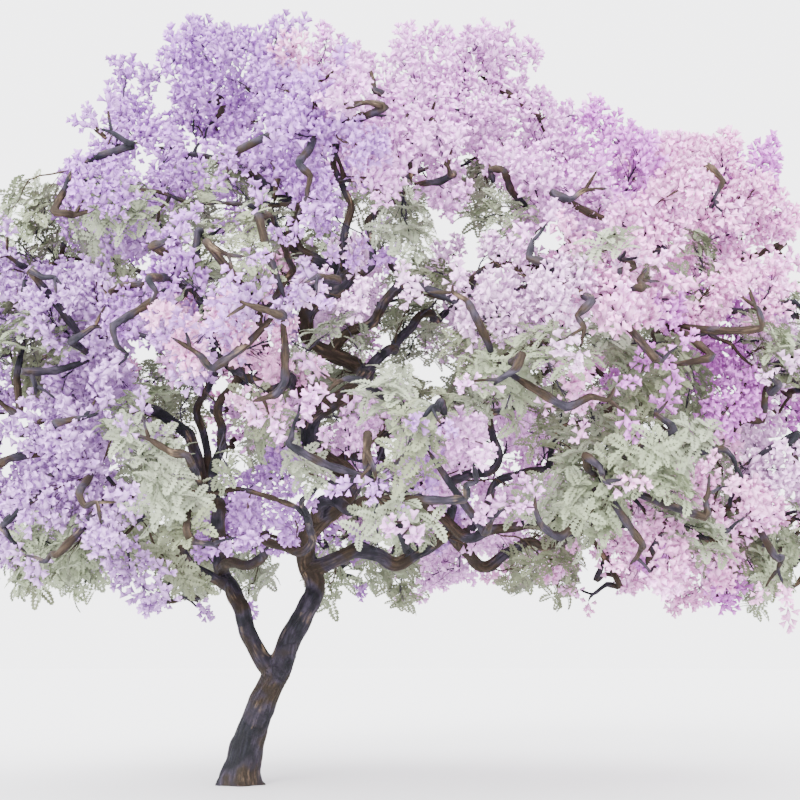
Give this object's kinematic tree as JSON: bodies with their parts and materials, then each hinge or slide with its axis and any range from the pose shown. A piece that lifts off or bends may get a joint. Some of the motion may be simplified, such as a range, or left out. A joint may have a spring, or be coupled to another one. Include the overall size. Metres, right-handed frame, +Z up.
{
  "type": "jacaranda tree",
  "caption": "Jacaranda tree in blossom: a leaning trunk that forks low, crooked boughs, and a broad open crown of separate masses of blossom and leaf.",
  "frame": {"origin": "middle of the flat cut under the trunk, at ground level", "axes": "+Z up, +X along the wide way of the crown, the way the trunk leans, -Y towards the viewer of the picture"},
  "size_m": [12.5904, 10.3972, 9.6283],
  "materials": {
    "bark": "matte",
    "blossom": "matte",
    "leaf": "matte"
  },
  "bodies": {
    "root": {"trunk": "bark", "bough_left": "bark", "bough_centre": "bark", "bough_right": "bark", "bough_front": "bark", "bough_back": "bark", "bough_low_front": "bark", "bough_low_left": "bark", "bough_low_back": "bark", "bough_right_back": "bark", "bough_right_front": "bark", "bough_left_front": "bark", "bough_upper_left_front": "bark", "bough_upper_left_back": "bark", "bough_upper_right_back": "bark", "bough_upper_right_front": "bark", "bough_top_right": "bark", "bough_top_front": "bark", "mass_top_1": "blossom", "mass_top_2": "blossom", "mass_top_3": "blossom", "mass_top_4": "blossom", "mass_top_5": "blossom", "mass_top_6": "blossom", "mass_top_7": "blossom", "mass_upper_1": "blossom", "mass_upper_2": "blossom", "mass_upper_3": "blossom", "mass_upper_4": "blossom", "mass_upper_5": "blossom", "mass_upper_6": "blossom", "mass_upper_7": "blossom", "mass_upper_8": "blossom", "mass_upper_9": "blossom", "mass_middle_1": "blossom", "mass_middle_2": "blossom", "mass_middle_3": "blossom", "mass_middle_4": "blossom", "mass_middle_5": "blossom", "mass_middle_6": "blossom", "mass_middle_7": "blossom", "mass_middle_8": "blossom", "mass_middle_9": "blossom", "mass_middle_10": "blossom", "mass_lower_1": "blossom", "mass_lower_2": "blossom", "mass_lower_3": "blossom", "mass_lower_4": "blossom", "mass_lower_5": "blossom", "mass_lower_6": "blossom", "mass_lower_7": "blossom", "mass_lower_8": "blossom", "mass_lower_9": "blossom", "mass_lower_10": "blossom"}
  },
  "joints": []
}
